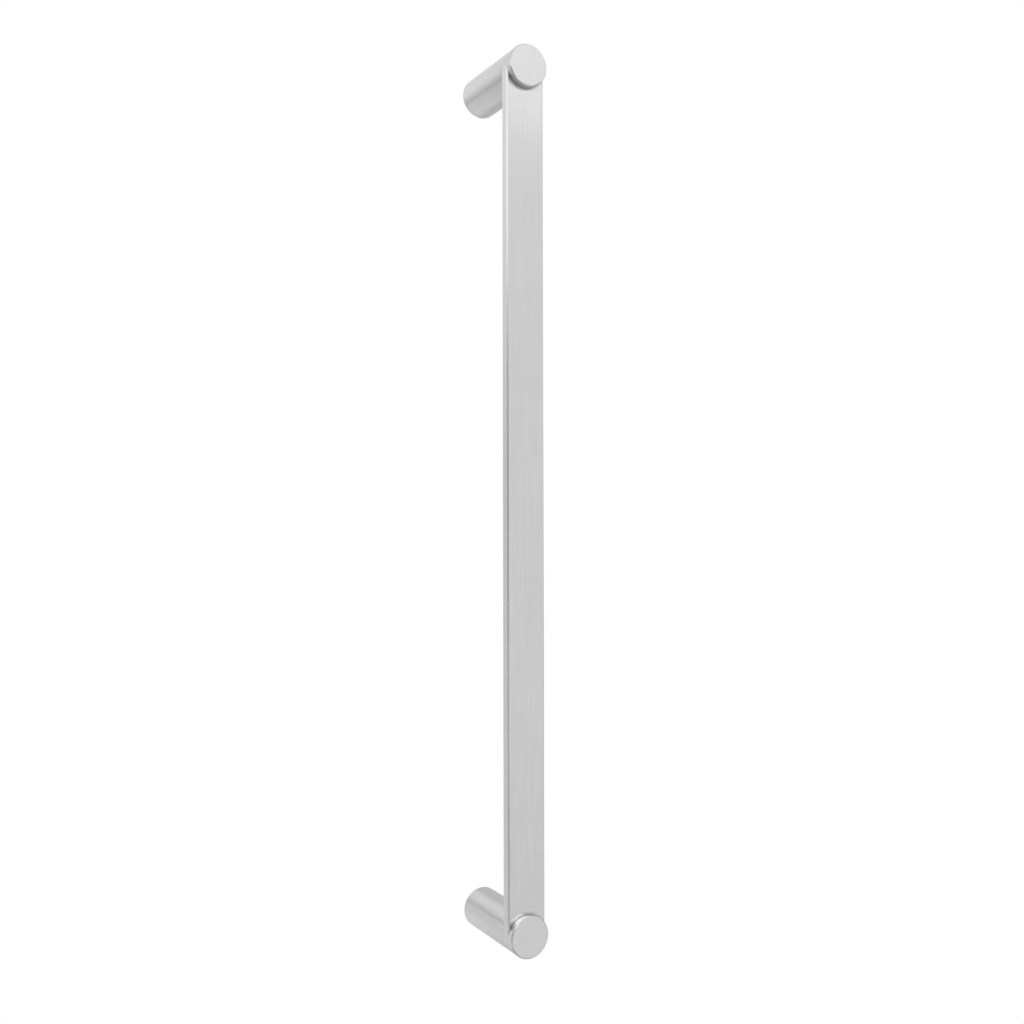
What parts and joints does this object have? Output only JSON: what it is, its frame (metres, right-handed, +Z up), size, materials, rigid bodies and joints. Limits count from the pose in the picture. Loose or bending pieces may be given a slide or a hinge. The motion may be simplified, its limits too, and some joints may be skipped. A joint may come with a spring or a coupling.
{
  "type": "door pull handle",
  "caption": "Straight door pull handle: a flat satin steel grip bar let into round standoff posts, tapped at the back for bolts through the door.",
  "frame": {"origin": "on the door's face, midway between the axes of the two posts", "axes": "+Z up along the bar, +Y into the door along the posts, +X to the right as seen from in front"},
  "size_m": [0.03, 0.076, 0.65],
  "materials": {
    "satin_steel_bar": "stainless steel, satin ground along the bar",
    "satin_steel_post": "stainless steel, turned and satin ground",
    "set_screw_steel": "plain stainless screw"
  },
  "bodies": {
    "root": {"grip_bar": "satin_steel_bar", "upper_post": "satin_steel_post", "lower_post": "satin_steel_post", "upper_set_screw": "set_screw_steel", "lower_set_screw": "set_screw_steel"}
  },
  "joints": []
}
